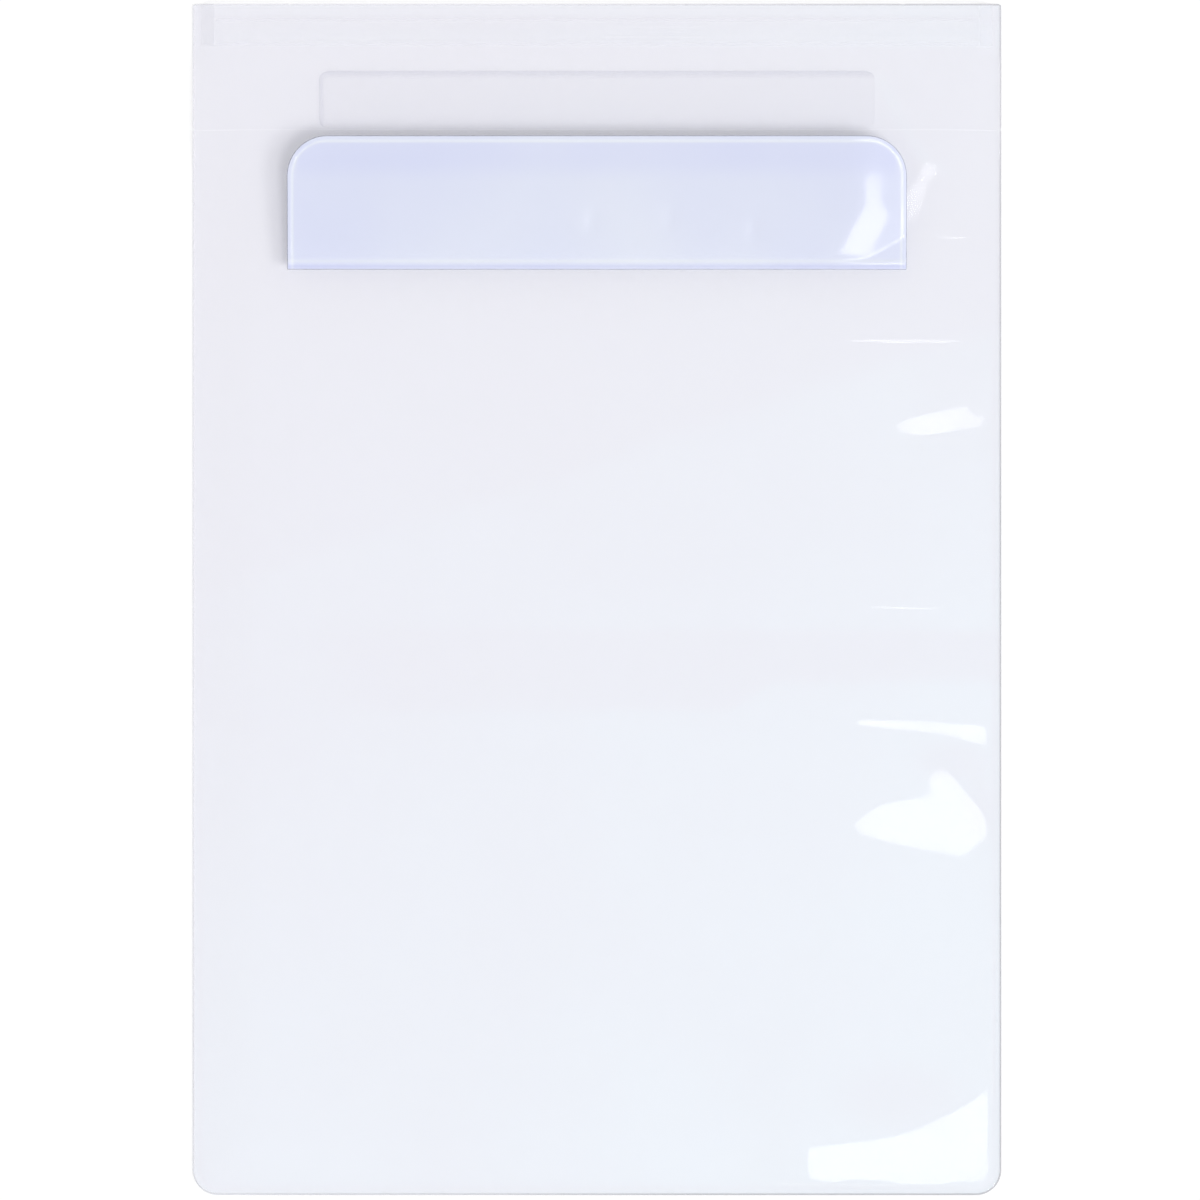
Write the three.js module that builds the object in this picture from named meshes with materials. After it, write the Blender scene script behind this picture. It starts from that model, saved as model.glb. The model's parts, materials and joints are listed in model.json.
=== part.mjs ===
// A clear vinyl document pocket for A4 sheets, in millimetres. It lies on its back: X runs across it,
// Y runs from its closed bottom edge to its mouth, and Z runs up through it from the table.
// Two films are welded together down both sides and along the bottom. A press zip closes the mouth.
// The head, which holds the zip, folds forward over the front, and a tinted flap then holds it down
// by a hook strip that meets the loop patch on the head's back.

import * as THREE from 'three';

// Overall size
const pocketWidth = 224;
const pocketLength = 330;
const cornerRadius = 7;
const film = 0.4;

// The weld along the sides and the bottom, and how the front film rises from it
const weldWidth = 2;
const riseWidth = 14;
const insideHeight = 4.9;

// The shallow crease across the middle, where the empty pocket was packed in half
const creaseFromBottom = 144;
const creaseHalfWidth = 13;
const creaseDepth = 0.4;

// The head, from the fold line to the edge of the mouth
const headLength = 35.5;
const foldGap = 0.4;
const foldLift = 2.4;
const foldRamp = 12;
const patchClearance = 0.5;
const marginStep = 0.1;

// The mouth of the front film, which turns about its own edge beside the fold
const mouthSetback = 0.4;
const sideClearance = 0.3;
const slopeToZip = 1;
const notchFromZip = 2;
const notchToZip = 0.5;
const leastRise = 1;

// The loop patch on the head's back
const loopWidth = 154;
const loopLength = 16;
const loopThickness = 0.8;
const loopFromFold = 1;
const loopRadius = 2.5;

// The press zip
const lipLength = 3.9;
const zipWidth = 7.7;
const tape = 0.4;
const zipInside = 1.8;
const grooveHalf = 1.15;
const jawWall = 0.45;
const jawHeight = 1.5;
const lipHeight = 0.3;
const barbHalf = 0.6;
const barbHeight = 0.1;
const stemHalf = 0.25;
const tipHalf = 0.2;
const barbClearance = 0.3;
const tipClearance = 0.3;
const tapeTaper = 0.8;

// The flattened ends of the zip, beside the side welds
const sealWidth = 4;
const sealClearance = 0.3;
const sealSteps = 6;

// The flap
const flapWidth = 171;
const flapLength = 34.4;
const flapThickness = 0.8;
const flapRadius = 11;
const flapBevel = 0.2;
const flapBevelSteps = 2;
const flapCurveSteps = 10;
const flapFromFold = 1.5;
const flapRestAngle = THREE.MathUtils.degToRad(5);
const flapHingeHeight = 0.75;
const flapHingeGap = 0.3;
const flapBarWidth = 2.2;
const flapBarHeight = 0.3;
const flapBarOverhang = 1;
const flapBarRounding = 0.4;
const flapBarCurveSteps = 4;

// The hook strip under the flap
const hookWidth = 154;
const hookLength = 16;
const hookThickness = 1;
const hookFromEdge = 0.9;
const hookRadius = 2.5;
const hookSeat = 0.3;

// How finely the films and the tapes' corners are divided
const leastRowGap = 0.2;
const cornerSteps = 6;
const riseSteps = 6;
const creaseSteps = 6;
const rampSteps = 4;
const slopeSteps = 8;
const fallSteps = 4;
const tapeCurveSteps = 5;

// Places worked out from the sizes above
const halfWidth = pocketWidth / 2;
const bottomY = -pocketLength / 2;
const topY = pocketLength / 2;
const foldY = topY - headLength;
const creaseY = bottomY + creaseFromBottom;
const insideTop = film + insideHeight;
const frontTop = insideTop + film;
const pocketEndY = foldY - foldGap / 2;
const headStartY = foldY + foldGap / 2;
const mouthStartY = foldY + mouthSetback;
const loopStartY = foldY + loopFromFold;
const loopEndY = loopStartY + loopLength;
const zipEndY = topY - lipLength;
const zipStartY = zipEndY - zipWidth;
const fallStartY = loopEndY + patchClearance;
const fallEndY = zipStartY - patchClearance;
const slopeEndY = zipStartY - slopeToZip;
const notchStartY = zipStartY - notchFromZip;
const notchEndY = zipStartY - notchToZip;
const zipY = (zipStartY + zipEndY) / 2;
const tapeTop = film + tape;
const ribBase = tapeTop + zipInside;
const zipFilmUnder = ribBase + tape;
const sealInnerX = halfWidth - weldWidth - sealWidth;
const zipHalf = sealInnerX - sealClearance;
const flapHingeY = foldY - flapFromFold - flapLength;

// Materials

const clearVinyl = { color: 0xeeeef5, roughness: 0.12, metalness: 0, transparent: true, opacity: 0.35 };
const zipVinyl = { color: 0xe6e8ee, roughness: 0.25, metalness: 0, transparent: true, opacity: 0.6 };
const tintedVinyl = { color: 0xdee3f6, roughness: 0.1, metalness: 0, transparent: true, opacity: 0.75 };
const napTape = { color: 0xe9ebef, roughness: 0.95, metalness: 0 };

function piece(name, geometry, look) {
  const mesh = new THREE.Mesh(geometry, new THREE.MeshStandardMaterial(look));
  mesh.name = name;
  return mesh;
}

// Curves

function ease(t) {
  const s = THREE.MathUtils.clamp(t, 0, 1);
  return s * s * (3 - 2 * s);
}

function divide(from, to, count) {
  return Array.from({ length: count + 1 }, (_, i) => from + ((to - from) * i) / count);
}

// The values in order from first to last, without any that lies too close to its neighbour.
function levels(first, last, ...lists) {
  const kept = [first];
  for (const value of lists.flat().sort((a, b) => a - b)) {
    const clearBelow = value - kept[kept.length - 1] > leastRowGap;
    if (clearBelow && last - value > leastRowGap) kept.push(value);
  }
  return [...kept, last];
}

// Films

// A film as one closed body over a grid of points. xsAt gives each row's X values, all rows alike in
// number, and under and over give the height of its two faces.
function filmSheet(ys, xsAt, under, over) {
  const rows = ys.map((y) => xsAt(y).map((x) => [x, y]));
  const across = rows[0].length;
  const count = across * ys.length;
  const position = [];
  for (const height of [over, under]) {
    for (const [x, y] of rows.flat()) position.push(x, y, height(x, y));
  }
  const index = [];
  const quad = (a, b, c, d) => index.push(a, b, c, a, c, d);
  for (let j = 0; j + 1 < ys.length; j += 1) {
    for (let i = 0; i + 1 < across; i += 1) {
      const a = j * across + i;
      const b = a + 1;
      const c = b + across;
      const d = a + across;
      quad(a, b, c, d);
      quad(count + a, count + d, count + c, count + b);
    }
  }
  const wall = (a, b) => quad(a, count + a, count + b, b);
  const lastRow = count - across;
  for (let i = 0; i + 1 < across; i += 1) {
    wall(i, i + 1);
    wall(lastRow + i + 1, lastRow + i);
  }
  for (let j = 0; j + 1 < ys.length; j += 1) {
    wall((j + 1) * across, j * across);
    wall(j * across + across - 1, (j + 1) * across + across - 1);
  }
  const geometry = new THREE.BufferGeometry();
  geometry.setAttribute('position', new THREE.Float32BufferAttribute(position, 3));
  geometry.setIndex(index);
  return geometry;
}

// Half of the pocket's width at y, where its two bottom corners are rounded.
function outlineHalf(y) {
  const below = Math.max(0, bottomY + cornerRadius - y);
  return halfWidth - cornerRadius + Math.sqrt(cornerRadius ** 2 - below ** 2);
}

function cornerRows() {
  return divide(0, Math.PI / 2, cornerSteps).map((a) => bottomY + cornerRadius * (1 - Math.cos(a)));
}

// X values from one side to the other, at the given distances in from each side.
function columns(half, insets) {
  const left = insets.map((inset) => inset - half);
  return [...left, 0, ...left.map((x) => -x).reverse()];
}

// How high the back film lies: it is flat on the table, and climbs over the loop patch's thickness.
function backUnder(y) {
  const up = ease((y - (pocketEndY - foldRamp)) / foldRamp);
  const down = ease((y - fallStartY) / (fallEndY - fallStartY));
  return loopThickness * Math.min(up, 1 - down);
}

// Rows along the climb, shared by the two films so that they meet face to face.
function rampRows() {
  return divide(pocketEndY - foldRamp, pocketEndY, rampSteps);
}

function pocketBackSheet() {
  const ys = levels(bottomY, pocketEndY, cornerRows(), rampRows());
  const under = (x, y) => backUnder(y);
  const over = (x, y) => backUnder(y) + film;
  return filmSheet(ys, (y) => columns(outlineHalf(y), [0, weldWidth]), under, over);
}

// The underside of the front film: flat on the weld, and puffed up inside it.
function frontUnder(x, y) {
  const base = backUnder(y) + film;
  const fromSide = ease((halfWidth - Math.abs(x) - weldWidth) / riseWidth);
  const fromBottom = ease((y - bottomY - weldWidth) / riseWidth);
  const crease = creaseDepth * (1 - ease(Math.abs(y - creaseY) / creaseHalfWidth));
  return base + (insideTop - crease - base) * fromSide * fromBottom;
}

function pocketFrontSheet() {
  const insets = [0, ...divide(weldWidth, weldWidth + riseWidth, riseSteps)];
  const riseRows = divide(bottomY + weldWidth, bottomY + weldWidth + riseWidth, riseSteps);
  const creaseRows = divide(creaseY - creaseHalfWidth, creaseY + creaseHalfWidth, creaseSteps);
  const ys = levels(bottomY, pocketEndY, cornerRows(), riseRows, creaseRows, rampRows());
  const over = (x, y) => frontUnder(x, y) + film;
  return filmSheet(ys, (y) => columns(outlineHalf(y), insets), frontUnder, over);
}

// Rows of the head's two films: the front one slopes down to the zip, and the back one from the patch.
function headRows(first) {
  const slopeRows = divide(mouthStartY, slopeEndY, slopeSteps);
  const fallRows = divide(fallStartY, fallEndY, fallSteps);
  return levels(first, topY, slopeRows, fallRows, [notchStartY, notchEndY]);
}

// The head's back film, with the front film's welded margin fused on along both sides.
function headBackSheet() {
  const ys = headRows(headStartY);
  const weldStart = halfWidth - weldWidth;
  const under = (x, y) => backUnder(y);
  const over = (x, y) => backUnder(y) + film * (Math.abs(x) >= weldStart - marginStep / 2 ? 2 : 1);
  return filmSheet(ys, () => columns(halfWidth, [0, weldWidth, weldWidth + marginStep]), under, over);
}

// Half of the mouth film's width at y: it is cut in beside the flattened ends of the zip.
function mouthHalf(y) {
  const wide = halfWidth - weldWidth - sideClearance;
  const narrow = sealInnerX - sealClearance;
  const inNotch = THREE.MathUtils.clamp(y, notchStartY, notchEndY);
  return THREE.MathUtils.mapLinear(inNotch, notchStartY, notchEndY, wide, narrow);
}

// The underside of the mouth film: it carries on from the front film and comes down to the zip.
function mouthUnder(x, y) {
  const base = backUnder(y) + film;
  const toZip = ease((y - mouthStartY) / (slopeEndY - mouthStartY));
  const centre = THREE.MathUtils.lerp(insideTop, zipFilmUnder, toZip);
  const rise = THREE.MathUtils.lerp(riseWidth, sealWidth - sideClearance, toZip);
  const edge = mouthHalf(mouthStartY);
  const fromSide = ease((edge - Math.abs(x)) / rise);
  return base + (centre - base) * fromSide;
}

function mouthFrontSheet() {
  const ys = headRows(mouthStartY);
  const edge = mouthHalf(mouthStartY);
  const xsAt = (y) => {
    const toZip = ease((y - mouthStartY) / (slopeEndY - mouthStartY));
    const rise = THREE.MathUtils.lerp(riseWidth, sealWidth - sideClearance, toZip);
    const half = mouthHalf(y);
    const insets = divide(0, Math.max(rise - (edge - half), leastRise), riseSteps);
    return columns(half, insets);
  };
  const over = (x, y) => mouthUnder(x, y) + film;
  return filmSheet(ys, xsAt, mouthUnder, over);
}

// Zip

// Stands a profile drawn in (Y, Z) along the whole length of the zip.
function zipTrack(profile) {
  const shape = new THREE.Shape(profile.map(([y, z]) => new THREE.Vector2(y, z)));
  const geometry = new THREE.ExtrudeGeometry(shape, { depth: 2 * zipHalf, bevelEnabled: false });
  geometry.rotateX(Math.PI / 2);
  geometry.rotateZ(Math.PI / 2);
  geometry.translate(-zipHalf, zipY, 0);
  return geometry;
}

function mirrored(half) {
  return [...half, ...half.map(([y, z]) => [-y, z]).reverse()];
}

// The groove: two jaws on a tape, whose lips lean in over the space that the rib lies in.
function grooveTrack() {
  const lipHalf = barbHalf + barbClearance;
  const jawTop = tapeTop + jawHeight;
  return zipTrack(mirrored([
    [-zipWidth / 2 + tapeTaper, film],
    [-zipWidth / 2, film + tape / 4],
    [-zipWidth / 2 + tapeTaper, tapeTop],
    [-grooveHalf - jawWall, tapeTop],
    [-grooveHalf - jawWall, jawTop - lipHeight],
    [-grooveHalf, jawTop],
    [-lipHalf, jawTop],
    [-lipHalf, jawTop - lipHeight],
    [-grooveHalf, jawTop - 2 * lipHeight],
    [-grooveHalf, tapeTop],
  ]));
}

// The rib: a stem with a barbed head that presses in between the jaws.
function ribTrack() {
  const tipZ = tapeTop + tipClearance;
  const barbZ = tipZ + barbHalf;
  return zipTrack(mirrored([
    [-zipWidth / 2 + tapeTaper, ribBase + tape],
    [-zipWidth / 2, ribBase + (tape * 3) / 4],
    [-zipWidth / 2 + tapeTaper, ribBase],
    [-stemHalf, ribBase],
    [-stemHalf, barbZ + barbHeight],
    [-barbHalf, barbZ],
    [-tipHalf, tipZ],
  ]));
}

// One end of the zip and its lips, melted flat against the side weld.
function zipEndSeal(side) {
  const outerX = halfWidth - weldWidth - sideClearance;
  const low = tapeTop;
  const drop = divide(0, 1, sealSteps).map((t) => [
    THREE.MathUtils.lerp(sealInnerX, outerX, t),
    low + (zipFilmUnder - low) * (1 - t) ** 2,
  ]);
  const outline = [[sealInnerX, film], ...drop, [outerX, film]];
  const shape = new THREE.Shape(outline.map(([x, z]) => new THREE.Vector2(side * x, z)));
  const geometry = new THREE.ExtrudeGeometry(shape, { depth: topY - zipStartY, bevelEnabled: false });
  geometry.rotateX(Math.PI / 2);
  geometry.translate(0, topY, 0);
  return geometry;
}

// Flap and tapes

// A rectangle from (-width/2, 0) to (width/2, length), with round corners of one radius at each end.
function roundedPlate(width, length, nearRadius, farRadius) {
  const half = width / 2;
  const shape = new THREE.Shape();
  shape.moveTo(-half, nearRadius);
  shape.lineTo(-half, length - farRadius);
  shape.absarc(-half + farRadius, length - farRadius, farRadius, Math.PI, Math.PI / 2, true);
  shape.lineTo(half - farRadius, length);
  shape.absarc(half - farRadius, length - farRadius, farRadius, Math.PI / 2, 0, true);
  shape.lineTo(half, nearRadius);
  if (nearRadius > 0) {
    shape.absarc(half - nearRadius, nearRadius, nearRadius, 0, -Math.PI / 2, true);
    shape.lineTo(-half + nearRadius, 0);
    shape.absarc(-half + nearRadius, nearRadius, nearRadius, -Math.PI / 2, -Math.PI, true);
  }
  return shape;
}

// The flap's sheet in its own plane, from its hinge edge to its free edge, with soft edges.
function flapPanel() {
  const inner = roundedPlate(
    flapWidth - 2 * flapBevel, flapLength - flapHingeGap - 2 * flapBevel, 0, flapRadius - flapBevel,
  );
  const geometry = new THREE.ExtrudeGeometry(inner, {
    depth: flapThickness - 2 * flapBevel,
    bevelThickness: flapBevel,
    bevelSize: flapBevel,
    bevelSegments: flapBevelSteps,
    curveSegments: flapCurveSteps,
  });
  geometry.translate(0, flapHingeGap + flapBevel, -flapThickness / 2 + flapBevel);
  return geometry;
}

function hookStrip() {
  const shape = roundedPlate(hookWidth, hookLength, hookRadius, hookRadius);
  const geometry = new THREE.ExtrudeGeometry(shape, {
    depth: hookThickness, bevelEnabled: false, curveSegments: tapeCurveSteps,
  });
  const startY = flapLength - hookFromEdge - hookLength;
  geometry.translate(0, startY, -flapThickness / 2 - hookSeat - hookThickness);
  return geometry;
}

function loopPatch() {
  const shape = roundedPlate(loopWidth, loopLength, loopRadius, loopRadius);
  const geometry = new THREE.ExtrudeGeometry(shape, {
    depth: loopThickness, bevelEnabled: false, curveSegments: tapeCurveSteps,
  });
  geometry.translate(0, loopStartY, 0);
  return geometry;
}

// The bar where the flap's root is welded to the front film.
function flapWeldBar() {
  const width = flapWidth + 2 * flapBarOverhang;
  const radius = flapBarRounding * flapBarWidth;
  const shape = roundedPlate(width, flapBarWidth, radius, radius);
  const geometry = new THREE.ExtrudeGeometry(shape, {
    depth: flapBarHeight, bevelEnabled: false, curveSegments: flapBarCurveSteps,
  });
  geometry.translate(0, flapHingeY - flapHingeGap / 2 - flapBarWidth, frontTop);
  return geometry;
}

// Assembly

const pocket = new THREE.Group();
pocket.add(
  piece('pocket_back_sheet', pocketBackSheet(), clearVinyl),
  piece('pocket_front_sheet', pocketFrontSheet(), clearVinyl),
  piece('flap_weld_bar', flapWeldBar(), tintedVinyl),
);

const flap = new THREE.Group();
flap.position.set(0, flapHingeY, frontTop + flapHingeHeight);
flap.rotation.x = flapRestAngle;
flap.add(
  piece('flap_panel', flapPanel(), tintedVinyl),
  piece('flap_hook_strip', hookStrip(), napTape),
);

const head = new THREE.Group();
head.add(
  piece('head_back_sheet', headBackSheet(), clearVinyl),
  piece('loop_patch', loopPatch(), napTape),
  piece('zip_groove_track', grooveTrack(), zipVinyl),
  piece('zip_end_seal_left', zipEndSeal(-1), zipVinyl),
  piece('zip_end_seal_right', zipEndSeal(1), zipVinyl),
);

const mouth = new THREE.Group();
mouth.add(
  piece('mouth_front_sheet', mouthFrontSheet(), clearVinyl),
  piece('zip_rib_track', ribTrack(), zipVinyl),
);

// The fold line of the head, the turning line of the mouth and the hinge of the flap all run along X.
const foldAxis = new THREE.Vector3(0, foldY, frontTop + foldLift);
const mouthAxis = new THREE.Vector3(0, mouthStartY, frontTop);
const flapAxis = flap.position.clone();

const documentPocket = new THREE.Group();
documentPocket.add(pocket, flap, head, mouth);
documentPocket.userData.axes = { fold: foldAxis, mouth: mouthAxis, flap: flapAxis };

export default documentPocket;
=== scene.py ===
import json
import math

import bpy
import numpy as np
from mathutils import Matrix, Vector


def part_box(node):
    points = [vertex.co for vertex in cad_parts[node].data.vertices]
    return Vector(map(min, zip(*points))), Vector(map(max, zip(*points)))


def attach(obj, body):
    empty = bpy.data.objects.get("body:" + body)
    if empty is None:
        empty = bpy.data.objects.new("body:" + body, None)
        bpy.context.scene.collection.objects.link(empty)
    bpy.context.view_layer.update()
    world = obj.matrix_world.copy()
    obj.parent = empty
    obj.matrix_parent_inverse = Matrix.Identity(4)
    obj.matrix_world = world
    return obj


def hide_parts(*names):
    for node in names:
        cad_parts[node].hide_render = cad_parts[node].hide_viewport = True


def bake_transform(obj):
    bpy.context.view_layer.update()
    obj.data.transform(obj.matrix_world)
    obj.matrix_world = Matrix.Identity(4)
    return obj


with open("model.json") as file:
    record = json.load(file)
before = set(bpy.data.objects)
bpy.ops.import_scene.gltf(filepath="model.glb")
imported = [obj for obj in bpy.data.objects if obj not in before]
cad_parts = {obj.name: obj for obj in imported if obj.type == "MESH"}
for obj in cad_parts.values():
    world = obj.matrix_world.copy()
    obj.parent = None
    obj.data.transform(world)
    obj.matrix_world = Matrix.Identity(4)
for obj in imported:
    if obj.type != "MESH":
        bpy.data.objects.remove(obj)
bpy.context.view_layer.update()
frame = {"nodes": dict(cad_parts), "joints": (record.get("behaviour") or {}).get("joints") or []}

# Shapes are worked out in millimetres in the CAD frame, and go into the meshes in metres.
toMetres = 0.001


# Lowest and highest corner of a CAD node, in millimetres.
def boxOf(node):
    low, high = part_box(node)
    return np.array(low) / toMetres, np.array(high) / toMetres


# The point that a joint turns about, in millimetres.
def pivotOf(name):
    joint = next(j for j in frame["joints"] if j["name"] == name)
    return np.array(joint["pos_m"]) / toMetres


backLow, backHigh = boxOf("pocket_back_sheet")
headLow, headHigh = boxOf("head_back_sheet")
patchLow, patchHigh = boxOf("loop_patch")
ribLow, ribHigh = boxOf("zip_rib_track")
barLow, barHigh = boxOf("flap_weld_bar")
foldPivot = pivotOf("head_fold")
mouthPivot = pivotOf("mouth_hinge")
flapPivot = pivotOf("flap_hinge")

pocket = {
    "half": backHigh[0],
    "bottom": backLow[1],
    "top": headHigh[1],
    "corner": 7.0,
    "film": 0.4,
    "weld": 2.0,
    "apart": 0.02,      # air between two films that are welded face to face
    "edgeRoll": 0.4,    # how far a cut edge bulges out past the faces
}

# The back film's way up over the loop patch and down again: length of its rise, and its distance from
# the patch and from the zip where it comes down.
patchRamp = {"rise": 12.0, "gap": 0.5}

# How the front film stands off the back one
puff = {
    "top": mouthPivot[2] - pocket["film"],
    "riseLeft": 14.0,
    "riseRight": 41.0,
    "rightCurve": 0.2,      # how much steeper than its mean the right-hand slope is at the weld
    "rightFrom": 20.0,      # x where the long right-hand slope begins to count, and over what distance
    "rightOver": 40.0,
    "riseBottom": 14.0,
    "riseZip": 3.7,
    "narrowFrom": 92.0,     # y above which the right-hand slope narrows towards the fold
    "zipGap": 1.0,          # flat film below the zip
    "sideRound": 0.2,       # rounding of the shoulder where the slopes meet the plateau
    "bottomRound": 0.25,
    "weldRound": 1.2,       # the film leaves its weld over this distance
    "creaseY": -20.5,
    "creaseDepth": 0.35,
    "creaseWidth": 9.0,
    "creaseIn": 12.0,
    "foldHeight": 0.3,
    "foldWidth": 1.8,
    "ripplesIn": 10.0,
    "ripplesTop": 150.0,
    "ripplesOver": 20.0,
}

# The film lies on a slope of its own in the lower right corner. from and over: where it sets in, in x.
# reach: how far it goes up, which grows with part and its cube. part is the way to the right from
# partFrom, in units of partOver, and stays between partLeast and partMost.
cornerSlope = {
    "from": 37.5,
    "over": 22.0,
    "slope": 0.135,
    "slopeRound": 3.0,
    "extra": 0.45,
    "extraFrom": 25.0,
    "extraOver": 40.0,
    "partFrom": 60.0,
    "partOver": 49.0,
    "partLeast": -0.3,
    "partMost": 1.1,
    "reach": 11.5,
    "reachPart": 4.0,
    "reachCube": 13.0,
    "fallShare": 0.9,
    "fallLeast": 6.0,
    "edge": 1.5,            # the film is up at once above the bottom weld
}

# Cross wrinkles on the right-hand slope: middle x and y, reach in x, width, slope, bow, and how the
# width and the slope grow to the right. narrowest is the least width, and weldFade the distance over
# which they run out at the right-hand weld.
wrinkles = [
    (94.5, 47.8, 14.2, 8.2, 0.150, -0.0060, 0.24, 0.0014),
    (90.1, -33.9, 26.6, 4.5, 0.190, 0.0021, 0.18, 0.0012),
    (89.8, -61.3, 20.7, 14.2, 0.147, 0.0018, 0.35, -0.0005),
]
narrowest = 2.6
weldFade = 2.0

# A small bump above the largest wrinkle, whose lower flank runs down into it. It leans to the right
# on its way down.
finger = {"x": 93.9, "y": -44.8, "halfX": 8.4, "halfY": 5.4, "lean": 0.67, "height": 0.90}

# Fine creases across the front film: place in y, from and to in x, height
fineCreases = [
    (72.3, 44.0, 105.0, 0.18),
    (-1.5, 60.0, 100.0, 0.12),
    (-27.4, 55.0, 109.0, 0.17),
    (101.0, 88.0, 108.0, 0.12),
]
fineCrease = {"width": 1.1, "fadeIn": 12.0, "fadeOut": 5.0}


def lerp(a, b, t):
    return a + (b - a) * t


# 0 below 0, 1 above 1, and a smooth step between.
def ease(t):
    t = np.clip(t, 0, 1)
    return t * t * (3 - 2 * t)


# The smaller of two values, with a rounded corner of size k where they cross.
def softMin(a, b, k):
    h = np.clip(0.5 + 0.5 * (b - a) / k, 0, 1)
    return b + (a - b) * h - k * h * (1 - h)


# Depth of a point behind two edges, inX and inY away from it, that meet in a corner of radius r: the
# lesser of the two, or near the corner the radius less the distance from the corner's centre.
def cornerDepth(inX, inY, r):
    nearCorner = (inX < r) & (inY < r)
    return np.where(nearCorner, r - np.hypot(r - inX, r - inY), np.minimum(inX, inY))


# Depth of a point inside the pocket's outline, whose two bottom corners are round.
def outlineDepth(x, y):
    return cornerDepth(pocket["half"] - np.abs(x), y - pocket["bottom"], pocket["corner"])


# Half of the outline's width at y, for the outline drawn in by inset: the corners keep their centres,
# so the half width there is their centre's place plus the root of radius squared less height squared.
def outlineHalf(y, inset):
    r = pocket["corner"] - inset
    below = np.clip(pocket["bottom"] + pocket["corner"] - y, 0, r)
    return pocket["half"] - pocket["corner"] + np.sqrt(r * r - below * below)


# Height of the back film: flat on the table, and up over the loop patch, which lies under it.
def backUnder(x, y):
    up = ease((y - (backHigh[1] - patchRamp["rise"])) / patchRamp["rise"])
    fallStart = patchHigh[1] + patchRamp["gap"]
    down = ease((y - fallStart) / (ribLow[1] - patchRamp["gap"] - fallStart))
    return (patchHigh[2] - patchLow[2] + pocket["apart"]) * np.minimum(up, 1 - down)


# Slow ripples: three crossed sine waves, a few hundredths of a millimetre high.
def ripples(x, y):
    a = np.sin(x * 0.11 + 1.7 * np.sin(y * 0.043 + 0.4))
    b = np.sin(y * 0.087 - x * 0.031 + 1.1)
    c = np.sin(x * 0.23 + y * 0.19 + 2.0 * np.sin(y * 0.05))
    return 0.05 * a + 0.06 * b + 0.02 * c


# The soft fold that runs down to the right from the loop patch's right corner: points on its ridge
foldRidge = {
    "y": [116.0, 121.6, 130.0, 145.0],
    "x": [100.6, 90.9, 85.3, 78.4],
    "from": 114.0,
    "to": 149.0,
    "fade": 6.0,
}


# 1 along the fold's ridge, falling to 0 beside it as a bell curve, and over the fade at both ends.
def foldBeside(x, y, width):
    near = (x - np.interp(y, foldRidge["y"], foldRidge["x"])) / width
    fadeLow = ease((y - foldRidge["from"]) / foldRidge["fade"])
    return np.exp(-near * near) * fadeLow * ease((foldRidge["to"] - y) / foldRidge["fade"])


# Height of the front film over its base, where it rises from the welds at each side and at the bottom
# to a level plateau: the least of the three rises and 1, with rounded shoulders, times the full height.
# In the lower right corner a slope of its own takes over, which climbs from the bottom weld, stays level
# past its reach and falls off as a bell curve. The side slopes grow steeper towards fold and zip.
def puffRise(x, y, base):
    right = pocket["half"] - pocket["weld"] - x
    left = pocket["half"] - pocket["weld"] + x
    low = y - pocket["bottom"] - pocket["weld"]
    toFold = ease((y - puff["narrowFrom"]) / (mouthPivot[1] - puff["narrowFrom"]))
    toZip = ease((y - mouthPivot[1]) / (ribLow[1] - puff["zipGap"] - mouthPivot[1]))

    wide = lerp(puff["riseRight"], puff["riseLeft"], toFold)
    setIn = ease((x - puff["rightFrom"]) / puff["rightOver"])
    riseRight = lerp(lerp(puff["riseLeft"], wide, setIn), puff["riseZip"], toZip)
    riseLeft = lerp(puff["riseLeft"], puff["riseZip"], toZip)
    height = lerp(puff["top"], ribHigh[2], toZip) - base
    fromRight = right / riseRight
    fromRight = fromRight + puff["rightCurve"] * np.maximum(fromRight, 0) * np.maximum(1 - fromRight, 0)
    side = softMin(left / riseLeft, fromRight, puff["sideRound"])
    shoulder = softMin(1.0, side, puff["sideRound"])
    plateau = softMin(shoulder, low / puff["riseBottom"], puff["bottomRound"]) * height

    part = (x - cornerSlope["partFrom"]) / cornerSlope["partOver"]
    part = np.clip(part, cornerSlope["partLeast"], cornerSlope["partMost"])
    reach = cornerSlope["reach"] + cornerSlope["reachPart"] * part + cornerSlope["reachCube"] * part ** 3
    after = np.maximum(low - reach, 0) / (cornerSlope["fallShare"] * reach + cornerSlope["fallLeast"])
    climb = softMin(low, reach, cornerSlope["slopeRound"])
    bulge = cornerSlope["slope"] * climb * np.exp(-after * after)
    pastExtra = ease((low - cornerSlope["extraFrom"]) / cornerSlope["extraOver"])
    cap = 1 + cornerSlope["extra"] * (1 - pastExtra)
    shoulder = softMin(cap, side, puff["sideRound"])
    sloped = softMin(shoulder, low / cornerSlope["edge"], puff["sideRound"]) * height + bulge
    return lerp(plateau, sloped, ease((x - cornerSlope["from"]) / cornerSlope["over"]))


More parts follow.
